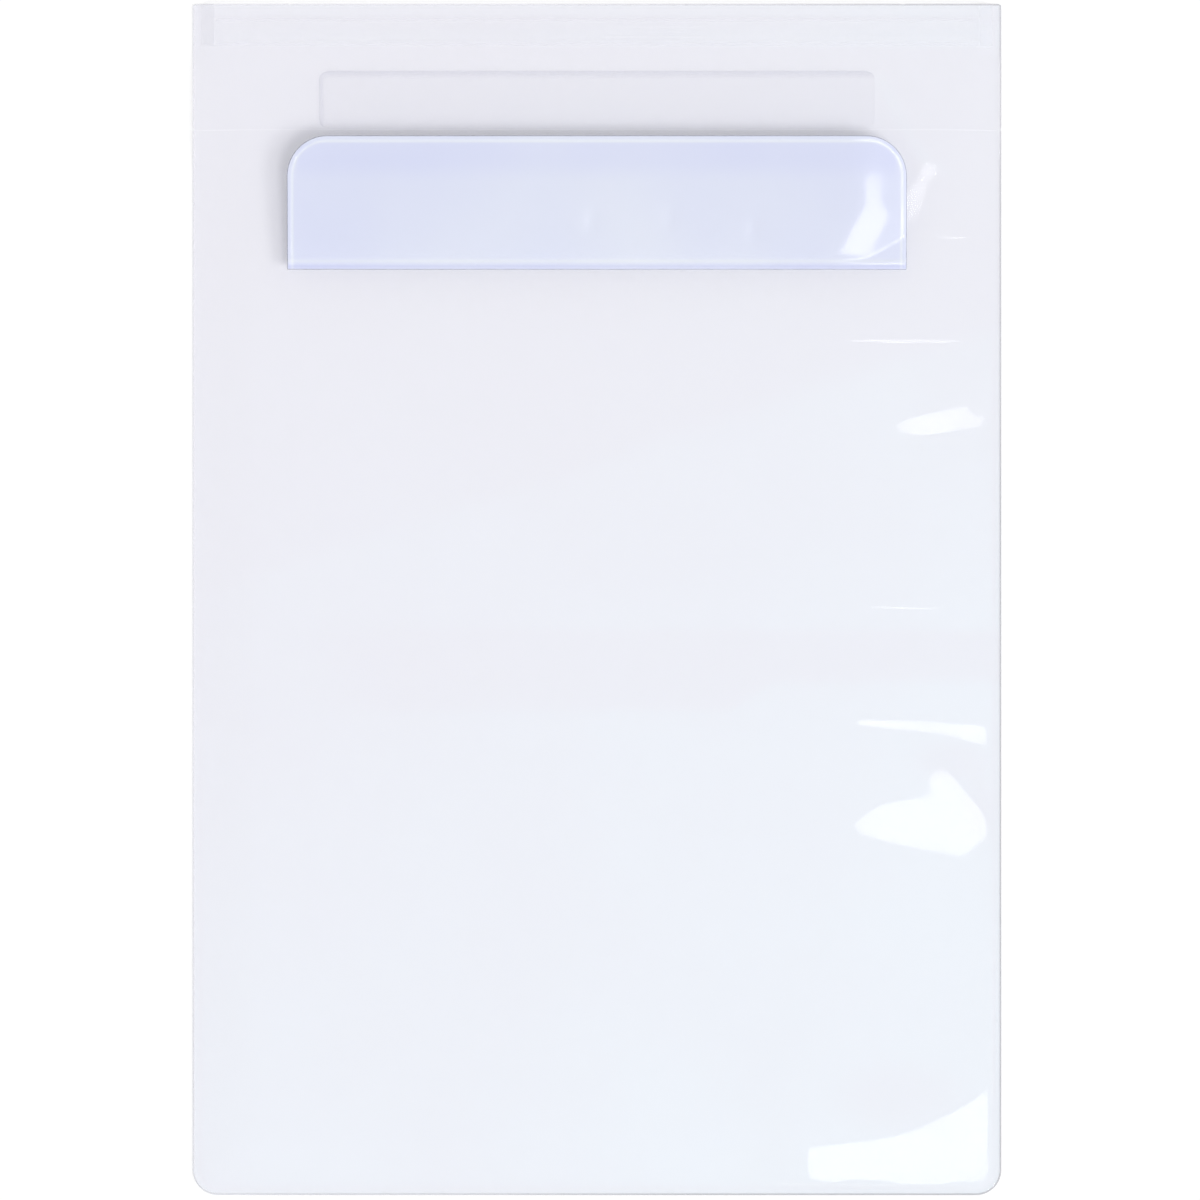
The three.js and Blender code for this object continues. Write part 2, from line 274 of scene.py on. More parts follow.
# Underside of the front film: the back film's top plus the puffed rise, plus the cross wrinkles, each an
# odd bell curve across its line, the small bump, the fine creases, the packing crease, the fold beside
# the loop patch and the ripples.
def frontUnder(x, y):
    base = backUnder(x, y) + pocket["film"] + pocket["apart"]
    z = puffRise(x, y, base)
    right = pocket["half"] - pocket["weld"] - x
    inner = outlineDepth(x, y) - pocket["weld"]

    for middleX, middleY, reachX, width, slope, bow, widen, steepen in wrinkles:
        across = x - middleX
        w = np.maximum(width + widen * across, narrowest)
        along = np.maximum(across + reachX, 0)
        t = (y - middleY + bow * along * along) / w
        shape = t * np.exp(-t * t) * np.exp(-np.abs(across / reachX) ** 6)
        z = z + (slope + steepen * across) * w * shape * ease(right / weldFade)

    along = (y - finger["y"]) / finger["halfY"]
    across = (x - finger["x"] + finger["lean"] * (y - finger["y"])) / finger["halfX"]
    z = z + finger["height"] * np.exp(-along * along - across * across)

    for creaseY, fromX, toX, height in fineCreases:
        across = (y - creaseY) / fineCrease["width"]
        ends = ease((x - fromX) / fineCrease["fadeIn"]) * ease((toX - x) / fineCrease["fadeOut"])
        z = z + height * np.exp(-across * across) * ends

    crease = (y - puff["creaseY"]) / puff["creaseWidth"]
    z = z - puff["creaseDepth"] * np.exp(-crease * crease) * ease(inner / puff["creaseIn"])
    z = z + puff["foldHeight"] * foldBeside(x, y, puff["foldWidth"])
    fadeTop = ease((puff["ripplesTop"] - y) / puff["ripplesOver"])
    z = z + ripples(x, y) * ease(inner / puff["ripplesIn"]) * fadeTop
    return base + np.maximum(z, 0) * ease(inner / puff["weldRound"])


# Meshes

# Faces that meet at more than this angle, in degrees, keep a sharp edge.
sharpAngle = 50.0


# A mesh object from points in millimetres and faces. second marks faces with the second material.
def meshPiece(name, points, faces, materials, second=None):
    mesh = bpy.data.meshes.new(name)
    mesh.from_pydata((np.asarray(points) * toMetres).tolist(), [], [list(f) for f in faces])
    obj = bpy.data.objects.new(name, mesh)
    bpy.context.collection.objects.link(obj)
    for material in materials:
        mesh.materials.append(material)
    mesh.polygons.foreach_set("use_smooth", np.ones(len(faces), dtype=bool))
    if second is not None and len(materials) > 1:
        mesh.polygons.foreach_set("material_index", second.astype(np.int32))
    mesh.set_sharp_from_angle(angle=math.radians(sharpAngle))
    mesh.update()
    return obj


# A closed sheet over a grid of x and y, between an upper and a lower height. Round its edge run two
# strips that meet in a ring half way up. On a side named in cut the ring stands out by roll along the
# edge's own normal, and the strips take the second material. tone is kept as a point attribute.
def closedSheet(name, x, y, upper, lower, materials, roll=pocket["edgeRoll"], cut="brtl", tone=None):
    rows, columns = x.shape
    count = rows * columns
    grid = np.arange(count).reshape(rows, columns)
    loop = np.concatenate([grid[0], grid[1:, -1], grid[-1, -2::-1], grid[-2:0:-1, 0]])
    lengths = [columns - 1, rows - 1, columns - 1, rows - 1]
    isCut = np.repeat([side in cut for side in "brtl"], lengths)
    cutPoint = isCut & np.roll(isCut, 1)
    flat = np.stack([x, y], -1).reshape(-1, 2)
    tangent = np.roll(flat[loop], -1, axis=0) - np.roll(flat[loop], 1, axis=0)
    normal = np.stack([tangent[:, 1], -tangent[:, 0]], -1)
    normal /= np.maximum(np.linalg.norm(normal, axis=1, keepdims=True), 1e-9)
    middle = (upper.reshape(-1)[loop] + lower.reshape(-1)[loop]) / 2
    ring = np.column_stack([flat[loop] + roll * normal * cutPoint[:, None], middle])
    top = np.column_stack([flat, upper.reshape(-1)])
    bottom = np.column_stack([flat, lower.reshape(-1)])
    a, b, c, d = (q.reshape(-1) for q in (grid[:-1, :-1], grid[:-1, 1:], grid[1:, 1:], grid[1:, :-1]))
    over = np.column_stack([a, b, c, d])
    under = np.column_stack([a, d, c, b]) + count
    after = np.roll(loop, -1)
    here = np.arange(len(loop)) + 2 * count
    there = np.roll(here, -1)
    upperWall = np.column_stack([loop, here, there, after])
    lowerWall = np.column_stack([here, loop + count, after + count, there])
    points = np.concatenate([top, bottom, ring])
    faces = np.concatenate([over, under, upperWall, lowerWall]).tolist()
    second = np.concatenate([np.zeros(2 * len(over), dtype=bool), isCut, isCut])
    obj = meshPiece(name, points, faces, materials, second)
    if tone is not None:
        values = np.concatenate([tone.reshape(-1), tone.reshape(-1), tone.reshape(-1)[loop]])
        obj.data.attributes.new("tone", "FLOAT", "POINT").data.foreach_set("value", values)
    return obj


# A closed bar: a profile in (y, z), anticlockwise as seen from +X, carried along the places in x.
def sweptBar(name, profile, xs, materials):
    profile = np.asarray(profile, dtype=float)
    n, m = len(profile), len(xs)
    points = np.column_stack([
        np.repeat(xs, n), np.tile(profile[:, 0], m), np.tile(profile[:, 1], m),
    ])
    index = np.arange(n * m).reshape(m, n)
    after = np.roll(index, -1, axis=1)
    walls = np.stack([index[:-1], index[1:], after[1:], after[:-1]], -1).reshape(-1, 4)
    faces = walls[:, ::-1].tolist() + [index[0][::-1].tolist(), index[-1].tolist()]
    return meshPiece(name, points, faces, materials)


# Materials

# Links a list of (from socket, to socket) pairs.
def link(tree, *pairs):
    for source, target in pairs:
        tree.links.new(source, target)


# A math node with its operation set.
def mathNode(tree, operation):
    node = tree.nodes.new("ShaderNodeMath")
    node.operation = operation
    return node


hazeLook = {
    "cloudDetail": 2.0,
    "cloudShare": 0.7,      # how far the clouds move the colour, and from where
    "cloudStart": 0.15,
    "smearScale": 60.0,
    "smearDetail": 3.0,
    "smearLow": 0.35,
    "smearHigh": 0.65,
    "dentScale": 90.0,
    "dentDetail": 2.0,
}


# The look that every film shares. Out come a colour that drifts between two tones from the top left
# to the lower right, with clouds in it, and a roughness and a height of fine dents. The place between
# the tones is x times Across plus y times Down plus the clouds plus Shift.
def vinylHaze():
    group = bpy.data.node_groups.new("vinylHaze", "ShaderNodeTree")
    face = group.interface
    for name, kind, value in (
        ("Upper Tone", "NodeSocketColor", (0.6, 0.6, 0.8, 1)),
        ("Lower Tone", "NodeSocketColor", (0.7, 0.7, 0.9, 1)),
        ("Cloud Scale", "NodeSocketFloat", 14.0),
        ("Across", "NodeSocketFloat", 2.2),
        ("Down", "NodeSocketFloat", -2.4),
        ("Shift", "NodeSocketFloat", 0.0),
        ("Rough Low", "NodeSocketFloat", 0.08),
        ("Rough High", "NodeSocketFloat", 0.16),
    ):
        face.new_socket(name, in_out="INPUT", socket_type=kind).default_value = value
    face.new_socket("Colour", in_out="OUTPUT", socket_type="NodeSocketColor")
    face.new_socket("Roughness", in_out="OUTPUT", socket_type="NodeSocketFloat")
    face.new_socket("Height", in_out="OUTPUT", socket_type="NodeSocketFloat")
    nodes = group.nodes
    inside = nodes.new("NodeGroupInput")
    outside = nodes.new("NodeGroupOutput")
    place = nodes.new("ShaderNodeTexCoord")
    split = nodes.new("ShaderNodeSeparateXYZ")
    drift = mathNode(group, "MULTIPLY_ADD")
    drop = mathNode(group, "MULTIPLY_ADD")
    clouds = nodes.new("ShaderNodeTexNoise")
    clouds.inputs["Detail"].default_value = hazeLook["cloudDetail"]
    cloudy = mathNode(group, "MULTIPLY_ADD")
    cloudy.inputs[1].default_value = hazeLook["cloudShare"]
    cloudy.inputs[2].default_value = hazeLook["cloudStart"]
    shifted = mathNode(group, "ADD")
    tone = nodes.new("ShaderNodeMix")
    tone.data_type = "RGBA"
    tone.clamp_factor = True
    smears = nodes.new("ShaderNodeTexNoise")
    smears.inputs["Scale"].default_value = hazeLook["smearScale"]
    smears.inputs["Detail"].default_value = hazeLook["smearDetail"]
    rough = nodes.new("ShaderNodeMapRange")
    rough.inputs["From Min"].default_value = hazeLook["smearLow"]
    rough.inputs["From Max"].default_value = hazeLook["smearHigh"]
    dents = nodes.new("ShaderNodeTexNoise")
    dents.inputs["Scale"].default_value = hazeLook["dentScale"]
    dents.inputs["Detail"].default_value = hazeLook["dentDetail"]
    link(
        group,
        (place.outputs["Object"], split.inputs[0]),
        (place.outputs["Object"], clouds.inputs["Vector"]),
        (place.outputs["Object"], smears.inputs["Vector"]),
        (place.outputs["Object"], dents.inputs["Vector"]),
        (inside.outputs["Cloud Scale"], clouds.inputs["Scale"]),
        (clouds.outputs[0], cloudy.inputs[0]),
        (split.outputs["Y"], drop.inputs[0]),
        (inside.outputs["Down"], drop.inputs[1]),
        (inside.outputs["Across"], drift.inputs[1]),
        (cloudy.outputs[0], drop.inputs[2]),
        (split.outputs["X"], drift.inputs[0]),
        (drop.outputs[0], drift.inputs[2]),
        (drift.outputs[0], shifted.inputs[0]),
        (inside.outputs["Shift"], shifted.inputs[1]),
        (shifted.outputs[0], tone.inputs["Factor"]),
        (inside.outputs["Upper Tone"], tone.inputs[6]),
        (inside.outputs["Lower Tone"], tone.inputs[7]),
        (smears.outputs[0], rough.inputs["Value"]),
        (inside.outputs["Rough Low"], rough.inputs["To Min"]),
        (inside.outputs["Rough High"], rough.inputs["To Max"]),
        (tone.outputs[2], outside.inputs["Colour"]),
        (rough.outputs[0], outside.inputs["Roughness"]),
        (dents.outputs[0], outside.inputs["Height"]),
    )
    return group


# 1 within a stripe that runs across the pocket, at Middle in y and Half wide to each side, and down to
# 0 over the Soft distance beyond it.
def stripeMask():
    group = bpy.data.node_groups.new("stripeMask", "ShaderNodeTree")
    for name, value in (("Middle", 0.0), ("Half", 0.001), ("Soft", 0.0005)):
        socket = group.interface.new_socket(name, in_out="INPUT", socket_type="NodeSocketFloat")
        socket.default_value = value
    group.interface.new_socket("Mask", in_out="OUTPUT", socket_type="NodeSocketFloat")
    nodes = group.nodes
    inside = nodes.new("NodeGroupInput")
    outside = nodes.new("NodeGroupOutput")
    place = nodes.new("ShaderNodeTexCoord")
    split = nodes.new("ShaderNodeSeparateXYZ")
    away = mathNode(group, "SUBTRACT")
    size = mathNode(group, "ABSOLUTE")
    edge = mathNode(group, "ADD")
    fall = nodes.new("ShaderNodeMapRange")
    fall.inputs["To Min"].default_value = 1.0
    fall.inputs["To Max"].default_value = 0.0
    link(
        group,
        (place.outputs["Object"], split.inputs[0]),
        (split.outputs["Y"], away.inputs[0]),
        (inside.outputs["Middle"], away.inputs[1]),
        (away.outputs[0], size.inputs[0]),
        (size.outputs[0], fall.inputs["Value"]),
        (inside.outputs["Half"], edge.inputs[0]),
        (inside.outputs["Soft"], edge.inputs[1]),
        (inside.outputs["Half"], fall.inputs["From Min"]),
        (edge.outputs[0], fall.inputs["From Max"]),
        (fall.outputs[0], outside.inputs["Mask"]),
    )
    return group


haze = vinylHaze()
stripe = stripeMask()


# mask times scale, added to the total so far, or to start where there is none yet.
def addScaled(tree, mask, scale, total, start):
    node = mathNode(tree, "MULTIPLY_ADD")
    node.inputs[1].default_value = scale
    node.inputs[2].default_value = start
    link(tree, (mask, node.inputs[0]))
    if total is not None:
        link(tree, (total, node.inputs[2]))
    return node.outputs[0]


# A vinyl surface: the shared haze into colour, roughness and bump, with a plain alpha and gloss.
# stripes adds to the alpha in bands: each is its middle in y, half width, soft edge and added alpha.
# toneAlpha and toneShift let the piece's own tone attribute add to the alpha and shift the colour.
def vinylMaterial(
    name, upper, lower, alpha, bump=0.02, specular=0.5, cloudScale=14.0, roughness=(0.08, 0.16),
    across=2.2, down=-2.4, stripes=(), toneAlpha=0.0, toneShift=0.0,
):
    material = bpy.data.materials.new(name)
    material.use_nodes = True
    tree = material.node_tree
    shader = tree.nodes["Principled BSDF"]
    shader.inputs["Alpha"].default_value = alpha
    shader.inputs["IOR"].default_value = 1.5
    shader.inputs["Specular IOR Level"].default_value = specular
    look = tree.nodes.new("ShaderNodeGroup")
    look.node_tree = haze
    look.inputs["Upper Tone"].default_value = (*upper, 1)
    look.inputs["Lower Tone"].default_value = (*lower, 1)
    look.inputs["Cloud Scale"].default_value = cloudScale
    look.inputs["Across"].default_value = across
    look.inputs["Down"].default_value = down
    look.inputs["Rough Low"].default_value = roughness[0]
    look.inputs["Rough High"].default_value = roughness[1]
    relief = tree.nodes.new("ShaderNodeBump")
    relief.inputs["Strength"].default_value = bump
    relief.inputs["Distance"].default_value = 0.001
    link(
        tree,
        (look.outputs["Colour"], shader.inputs["Base Color"]),
        (look.outputs["Roughness"], shader.inputs["Roughness"]),
        (look.outputs["Height"], relief.inputs["Height"]),
        (relief.outputs["Normal"], shader.inputs["Normal"]),
    )
    total = None
    for middle, half, soft, added in stripes:
        band = tree.nodes.new("ShaderNodeGroup")
        band.node_tree = stripe
        band.inputs["Middle"].default_value = middle * toMetres
        band.inputs["Half"].default_value = half * toMetres
        band.inputs["Soft"].default_value = soft * toMetres
        total = addScaled(tree, band.outputs["Mask"], added, total, alpha)
    if toneAlpha or toneShift:
        drawn = tree.nodes.new("ShaderNodeAttribute")
        drawn.attribute_name = "tone"
    if toneAlpha:
        total = addScaled(tree, drawn.outputs["Fac"], toneAlpha, total, alpha)
    if toneShift:
        link(tree, (addScaled(tree, drawn.outputs["Fac"], toneShift, None, 0.0), look.inputs["Shift"]))
    if total is not None:
        link(tree, (total, shader.inputs["Alpha"]))
    return material


zipMiddle = (ribLow[1] + ribHigh[1]) / 2
clearFilm = vinylMaterial(
    "clearFilm", (0.51, 0.50, 0.71), (0.57, 0.70, 0.89), 0.06, specular=0.6, roughness=(0.03, 0.07),
    toneShift=1.0,
)
# Painted shading on the films' cut edges: the colour runs from light at the top left to dark at the lower
# right, so the right and bottom edges show a painted line of shade.
cutEdgePaintedShading = vinylMaterial("cutEdgePaintedShading", (0.80, 0.81, 0.88), (0.36, 0.37, 0.42), 0.20, across=5.0, down=-2.2)
tintedFilm = vinylMaterial(
    "tintedFilm", (0.660, 0.695, 0.965), (0.945, 0.980, 0.980), 0.76, specular=0.16, across=0.0, down=0.0,
    toneShift=1.0,
)
# Painted shading on the flap's cut edge: dark along its top and left, where it stands for the flap's
# contact shadow, and lighter towards the lower right, which faces the light.
tintedEdgePaintedShading = vinylMaterial("tintedEdgePaintedShading", (0.40, 0.42, 0.52), (0.62, 0.66, 0.88), 0.5)
zipVinyl = vinylMaterial(
    "zipVinyl", (0.96, 0.96, 1.0), (0.96, 0.96, 1.0), 0.012,
    stripes=[(zipMiddle + 3.3, 0.2, 0.35, 0.03), (zipMiddle - 3.5, 0.3, 0.35, 0.02)],
)
sealVinyl = vinylMaterial("sealVinyl", (0.90, 0.90, 0.97), (0.93, 0.93, 0.99), 0.06)
# The tone attribute adds alpha along the loop patch's top and left rims, which darkens them: painted shade
# on the sides that face away from the light.
patchPile = vinylMaterial(
    "patchPile", (0.48, 0.48, 0.60), (0.48, 0.48, 0.60), 0.015, specular=0.3, toneAlpha=0.075,
)
hookPile = vinylMaterial("hookPile", (0.56, 0.62, 0.84), (0.56, 0.62, 0.84), 0.10, specular=0.3)
print("materials made")


# The films of the pocket

# Places between two values, close to step apart.
def spaced(start, end, step):
    return np.linspace(start, end, max(2, int(round(abs(end - start) / step)) + 1))


# The films' grids. Steps are across and along the pocket.
films = {
    "backSteps": (4.0, 2.0),
    "frontSteps": (1.5, 1.6),
    "mouthSteps": (1.5, 1.2),
    "weldStep": 0.5,        # finer by the welds, to weldBeside inside them
    "weldBeside": 4.0,
    "cornerRows": 14,
    "foldBelow": 3.4,       # the films bend from foldBelow to foldAbove the fold line
    "foldAbove": 0.2,
    "foldStep": 0.18,
    "creaseBeside": 1.2,    # finer this far to each side of a fine crease
    "creaseStep": 0.3,
    "gap": 0.2,             # keeps other rows clear of a fine span
}

# The span in y over which the films bend when the head folds
foldZone = (foldPivot[1] - films["foldBelow"], foldPivot[1] + films["foldAbove"])


# Places across the pocket for the pocket's own outline, finest by the welds.
def acrossPocket(step):
    edge = pocket["half"]
    weldIn = edge - pocket["weld"]
    fineTo = weldIn - films["weldBeside"]
    beside = spaced(weldIn, fineTo, films["weldStep"])[1:]
    fine = np.concatenate([spaced(edge, weldIn, films["weldStep"]), beside])
    middle = spaced(-fineTo, fineTo, step)[1:-1]
    return np.unique(np.round(np.concatenate([-fine, middle, fine]), 4))


# Rows from the bottom edge, drawn in by inset, up to lastY: fine in the round corners, at the weld and
# round the fold, and in the spans given in fine as (from, to, step).
def alongPocket(lastY, step, inset, fine=()):
    r = pocket["corner"]
    bottom = pocket["bottom"]
    corner = bottom + r - (r - inset) * np.cos(np.linspace(0, math.pi / 2, films["cornerRows"]))
    body = spaced(bottom + r, foldZone[0], step)
    for low, high, _ in fine:
        body = body[(body < low - films["gap"]) | (body > high + films["gap"])]
    fold = spaced(foldZone[0], foldZone[1], films["foldStep"])
    upper = np.array([lastY])
    if lastY > foldZone[1] + films["gap"] / 2:
        upper = spaced(foldZone[1], lastY, step)
    spans = [spaced(*span) for span in fine]
    return np.unique(np.round(np.concatenate([corner, body, fold, upper, *spans]), 3))


# Grid of an outline: the places across, out to half, are drawn in to the half width of each row.
def outlineGrid(xs, ys, half, rowHalf):
    x = xs[None, :] / half * rowHalf[:, None]
    y = np.repeat(ys[:, None], len(xs), axis=1)
    return x, y


def pocketGrid(xs, ys, inset):
    return outlineGrid(xs, ys, pocket["half"], outlineHalf(ys, inset))


# How far each mark on the front film shifts its colour, and where it lies. Patches are middle x and y
# and half widths.
filmMarks = {
    "above": 0.6,
    "aboveFrom": 34.0,
    "aboveClimb": 0.33,
    "aboveOver": 10.0,
    # band: painted shade along the packing crease, where the film's valley faces away from the light.
    "band": 0.9,
    "bandTop": -7.5,
    "bandLowLeft": -31.5,
    "bandLowRight": -23.5,
    "bandTurn": (35.0, 16.0),       # x from which its lower edge changes over, and over what distance
    "bandLeft": (-90.0, 60.0),      # x from which it sets in, and over what distance
    "bandSoft": 2.0,
    "patch": 0.8,
    "patches": [(98, -45, 10, 6), (84, -138, 18, 10), (106, -58, 5, 9)],
    "weldLine": 1.2,
    "weldHalf": 0.45,
    "zipLine": 0.6,
    "zipLineY": 160.7,
    # fold: a painted highlight, lighter and bluer, along the ridge of the fold beside the loop patch.
    "fold": 0.9,
    "foldWidth": 2.6,
    "zip": 0.3,
    "zipFrom": 151.5,
    "zipSoft": 2.0,
}


# Shift of the front film's colour: to lilac above a line that climbs to the right, in a band along the
# packing crease, which is painted shade in the crease's valley, in patches beside the wrinkles and in
# lines inside the welds and above the zip, and to blue along the fold beside the loop patch, which is a
# painted highlight on the fold's ridge, and in the zip's band. Bands are products of smooth steps, and
# lines and patches are bell curves.
def filmTone(x, y):
    marks = filmMarks
    turnFrom, turnOver = marks["bandTurn"]
    leftFrom, leftOver = marks["bandLeft"]
    # Painted shade in a band along the packing crease
    low = lerp(marks["bandLowLeft"], marks["bandLowRight"], ease((x - turnFrom) / turnOver))
    acrossCreaseShade = ease((marks["bandTop"] - y) / marks["bandSoft"]) * ease((y - low) / marks["bandSoft"])
    band = acrossCreaseShade * ease((x - leftFrom) / leftOver)
    patches = 0
    for middleX, middleY, halfX, halfY in marks["patches"]:
        patches = patches + np.exp(-(((x - middleX) / halfX) ** 2 + ((y - middleY) / halfY) ** 2) ** 2)
    weldLine = np.exp(-((outlineDepth(x, y) - pocket["weld"]) / marks["weldHalf"]) ** 2)
    atZip = ease((y - marks["zipFrom"]) / marks["zipSoft"])
    zipLine = np.exp(-(y - marks["zipLineY"]) ** 2)
    overLine = y - marks["aboveClimb"] * x - marks["aboveFrom"]
    above = ease(overLine / marks["aboveOver"]) * (1 - atZip)
    lilac = marks["above"] * above + marks["band"] * band + marks["patch"] * np.minimum(patches, 1)
    lilac = lilac + marks["weldLine"] * weldLine + marks["zipLine"] * zipLine
    # The fold's painted highlight and the zip's band, less the lilac marks, the crease's painted shade
    # among them.
    return marks["fold"] * foldBeside(x, y, marks["foldWidth"]) + marks["zip"] * atZip - lilac


inset = pocket["edgeRoll"]
stepX, stepY = films["backSteps"]
x, y = pocketGrid(acrossPocket(stepX), alongPocket(pocket["top"] - inset, stepY, inset), inset)
under = backUnder(x, y)
backFilm = closedSheet("backFilm", x, y, under + pocket["film"], under, [clearFilm, cutEdgePaintedShading])
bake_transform(backFilm)
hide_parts("pocket_back_sheet", "head_back_sheet")

# Closer rows along the fine creases above the packing crease, and in one span below it, which holds the
# lowest fine crease and the narrow wrinkle
wrinkleRows = (-48.0, -26.0, 0.45)
beside = films["creaseBeside"]
fineRows = [wrinkleRows]
for creaseY, *_ in fineCreases:
    if creaseY > puff["creaseY"]:
        fineRows.append((creaseY - beside, creaseY + beside, films["creaseStep"]))
stepX, stepY = films["frontSteps"]
x, y = pocketGrid(acrossPocket(stepX), alongPocket(mouthPivot[1], stepY, inset, fineRows), inset)
under = frontUnder(x, y)
frontFilm = closedSheet(
    "frontFilm", x, y, under + pocket["film"], under, [clearFilm, cutEdgePaintedShading], cut="brl", tone=filmTone(x, y),
)
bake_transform(frontFilm)
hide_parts("pocket_front_sheet")
print("front and back film made")


# The mouth and its zip

# inner and still: where the mouth turns fully and where it no longer turns, from the middle. apart: the
# gap that keeps its film clear of the front film's end. sideFiner: how many times finer its sides are.
mouth = {"inner": 85.0, "still": 110.0, "apart": 0.1, "sideFiner": 3}


# Cuts a span of the mouth in three: the middle rides on the mouth, and the two sides stay where they
# are. make(name, xs) builds a piece for places in x.
def mouthThirds(name, half, step, make):
    inner = mouth["inner"]
    sideStep = step / mouth["sideFiner"]
    parts = (
        (name + "Left", spaced(-half, -inner, sideStep)),
        (name + "Middle", spaced(-inner, inner, step)),
        (name + "Right", spaced(inner, half, sideStep)),
    )
    pieces = []
    for label, xs in parts:
        obj = make(label, xs)
        if label.endswith("Middle"):
            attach(obj, "mouth")
        else:
            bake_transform(obj)
        pieces.append(obj)
    return pieces


# A part of the mouth's film: the front film's own surface from beside the fold up to the mouth's edge.
def mouthFilmPart(name, xs):
    stepY = films["mouthSteps"][1]
    ys = spaced(mouthPivot[1] + mouth["apart"], pocket["top"] - pocket["edgeRoll"], stepY)
    x, y = np.meshgrid(xs, ys)
    under = frontUnder(x, y)
    cut = {"Left": "tl", "Middle": "t", "Right": "tr"}[name[len("mouthFilm"):]]
    return closedSheet(
        name, x, y, under + pocket["film"], under, [clearFilm, cutEdgePaintedShading], cut=cut, tone=filmTone(x, y),
    )


mouthHalf = pocket["half"] - pocket["edgeRoll"]
mouthFilms = mouthThirds("mouthFilm", mouthHalf, films["mouthSteps"][0], mouthFilmPart)
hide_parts("mouth_front_sheet")

# The zip's rib: half widths of its stem, barb and tip, height of its barb's shoulder, thickness of its
# tape and width of the tape's thin edges, height of its tip, and step along it
rib = {
    "stemHalf": 0.25,
    "barbHalf": 0.6,
    "tipHalf": 0.2,
    "shoulder": 0.1,
    "tape": 0.4,
    "taper": 0.8,
    "tip": 1.1,
    "step": 6.0,
}


# The rib's profile: a tape with thin edges, and a stem with a barbed head under its middle.
def ribPart(name, xs):
    half = (ribHigh[1] - ribLow[1]) / 2
    top = ribHigh[2] - 2 * pocket["apart"]
    low = top - rib["tape"]
    barb = rib["tip"] + rib["barbHalf"]
    right = [
        (rib["tipHalf"], rib["tip"]), (rib["barbHalf"], barb), (rib["stemHalf"], barb + rib["shoulder"]),
        (rib["stemHalf"], low), (half - rib["taper"], low), (half, top - rib["tape"] / 4),
        (half - rib["taper"], top),
    ]
    profile = [(zipMiddle + p, z) for p, z in right] + [(zipMiddle - p, z) for p, z in right[::-1]]
    return sweptBar(name, profile, xs, [zipVinyl])


ribs = mouthThirds("zipRib", ribHigh[0], rib["step"], ribPart)
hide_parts("zip_rib_track")
for name in ("zip_groove_track", "zip_end_seal_left", "zip_end_seal_right"):
    node = frame["nodes"][name]
    node.data.materials.clear()
    node.data.materials.append(zipVinyl if name == "zip_groove_track" else sealVinyl)
print("mouth and zip made")


# The flap and the tapes

flap = {
    "half": 85.5,
    "root": barLow[1],
    "end": 128.0,
    "corner": 11.0,
    "thick": 0.5,
    "edgeRoll": 0.2,
    "sink": 0.12,           # how far the flap's middle passes under its hinge line
    "seatTo": -1.2,         # it lies on the film up to here, from the hinge line, and is free seatOver on
    "seatOver": 3.2,
    "slope": 0.101,
    "rootBend": 0.17,       # added rise of the bend at the root, and how far up it reaches
    "rootReach": 5.0,
    "rootRidge": 0.1,       # ridge of the weld along the root, its place from the hinge line and width
    "ridgeAt": -0.3,
    "ridgeWidth": 0.5,
    "levelFrom": 22.5,      # way up from the hinge line where the slope begins to ease off, and how much
    "level": 0.0025,
    "rim": 1.3,
    "rimHeight": 0.07,
    "curlFrom": 68.0,       # x where the right end begins to curl down, lower by curlLean further up
    "curlLean": 5.5,
    "curlLeanOver": 12.5,
    "leanRound": 0.2,
    "curl": 0.0070,
    "curlOver": 15.0,       # past this the curl goes on straight
    "contactRound": 0.02,   # rounding where it comes to lie on the film
    "dents": [(-1.3, 104.5), (20.0, 105.3), (43.3, 101.7)],
    "dentDepth": 0.20,
    "dentAcross": 4.0,      # squares of a dent's half width and half length
    "dentAlong": 14.0,
}


# Depth of a point inside the flap's outline, whose two corners at the free edge are round.
def flapDepth(x, y):
    fromEnd = cornerDepth(flap["half"] - np.abs(x), flap["end"] - y, flap["corner"])
    return np.minimum(fromEnd, y - flap["root"])


# Middle height of the flap. Its root lies on the front film. Beyond the hinge line it climbs as a sloped
# plane, with a bend at the root that dies away, a square-law ease off near the free edge and a
# square-law curl down at its right end, which goes on straight. It is never lower than where it would
# lie on the film. The dents are bell-shaped.
def flapMiddle(x, y):
    u = y - flapPivot[1]
    lifted = ease((u - flap["seatTo"]) / flap["seatOver"])
    seat = frontUnder(x, y) + pocket["film"] + pocket["apart"] + flap["thick"] / 2
    lean = -softMin(u / flap["curlLeanOver"] - 1, 0.0, flap["leanRound"])
    lean = softMin(1.0, lean, flap["leanRound"])
    past = np.maximum(x - (flap["curlFrom"] - flap["curlLean"] * lean), 0)
    fall = flap["curl"] * (past ** 2 - np.maximum(past - flap["curlOver"], 0) ** 2)
    bend = flap["rootBend"] * (1 - np.exp(-u / flap["rootReach"]))
    easeOff = flap["level"] * np.maximum(u - flap["levelFrom"], 0) ** 2
    plane = flapPivot[2] - flap["sink"] + flap["slope"] * u + bend - easeOff - fall
    ridge = (u - flap["ridgeAt"]) / flap["ridgeWidth"]
    z = lerp(seat, plane, lifted)
    z = -softMin(-z, -seat, flap["contactRound"]) + flap["rootRidge"] * np.exp(-ridge * ridge)
    for dentX, dentY in flap["dents"]:
        away = (x - dentX) ** 2 / flap["dentAcross"] + (y - dentY) ** 2 / flap["dentAlong"]
        z = z - flap["dentDepth"] * np.exp(-away)
    return z


